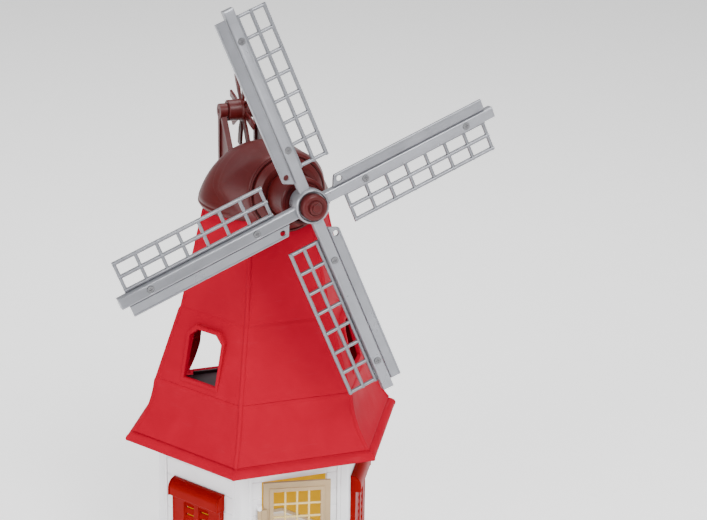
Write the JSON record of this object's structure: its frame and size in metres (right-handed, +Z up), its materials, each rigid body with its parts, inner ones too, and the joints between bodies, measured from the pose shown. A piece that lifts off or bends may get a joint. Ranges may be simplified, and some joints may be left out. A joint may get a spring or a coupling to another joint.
{
  "type": "toy windmill",
  "caption": "Toy windmill: six-sided house with a hinged door and louvred shutters, flared tower open at the back, domed cap, turning lattice sails and a tail fan.",
  "frame": {"origin": "on the ground at the tower's axis, at the centre of the ring that the walls stand on", "axes": "+Z up, -Y towards the front with the door and the sails, +X to the right seen from the front"},
  "size_m": [0.3116, 0.2347, 0.5047],
  "materials": {
    "wall_white": "satin moulded plastic",
    "tower_red": "satin moulded plastic",
    "shutter_red": "satin moulded plastic",
    "cap_brown": "satin moulded plastic",
    "sail_grey": "satin moulded plastic",
    "lining_yellow": "satin moulded plastic",
    "floor_brown": "satin moulded plastic",
    "door_beige": "satin moulded plastic",
    "screw_steel": "plain"
  },
  "bodies": {
    "mill": {"front_wall": "wall_white", "front_lintel": "wall_white", "left_wall": "wall_white", "right_wall": "wall_white", "rear_left_wall": "wall_white", "rear_right_wall": "wall_white", "rear_wall": "wall_white", "base_ring": "wall_white", "corner_posts": "wall_white", "inner_lining": "lining_yellow", "side_linings": "lining_yellow", "left_shutter": "shutter_red", "right_shutter": "shutter_red", "shutter_boxes": "shutter_red", "upper_floor": "floor_brown", "skirt_front": "tower_red", "skirt_left": "tower_red", "skirt_right": "tower_red", "skirt_rear_left": "tower_red", "skirt_rear_right": "tower_red", "skirt_rear": "tower_red", "tower_front": "tower_red", "tower_left": "tower_red", "tower_right": "tower_red", "tower_rear_left": "tower_red", "tower_rear_right": "tower_red", "window_hoods": "tower_red", "hip_ribs": "tower_red", "cap_dome": "cap_brown", "cap_neck": "cap_brown", "shaft_housing": "cap_brown", "fan_frames": "cap_brown"},
    "sails": {"sail_hub": "sail_grey", "nose_cap": "cap_brown", "sail_1": "sail_grey", "sail_2": "sail_grey", "sail_3": "sail_grey", "sail_4": "sail_grey", "lattice_1": "sail_grey", "lattice_2": "sail_grey", "lattice_3": "sail_grey", "lattice_4": "sail_grey", "sail_screws": "screw_steel"},
    "fan": {"fan_wheel": "cap_brown"},
    "door": {"door_leaf": "door_beige"}
  },
  "joints": [
    {"name": "sails_spin", "type": "hinge", "parent": "mill", "child": "sails", "pos_m": [0, -0.114, 0.3504], "axis": [0, -0.9947, 0.1028], "continuous": true},
    {"name": "fan_spin", "type": "hinge", "parent": "mill", "child": "fan", "pos_m": [0, 0.0635, 0.3816], "axis": [1, 0, 0], "continuous": true},
    {"name": "door_swing", "type": "hinge", "parent": "mill", "child": "door", "pos_m": [-0.031, -0.08259, 0.057], "axis": [0, 0, -1], "range_deg": [-11, 94]}
  ]
}
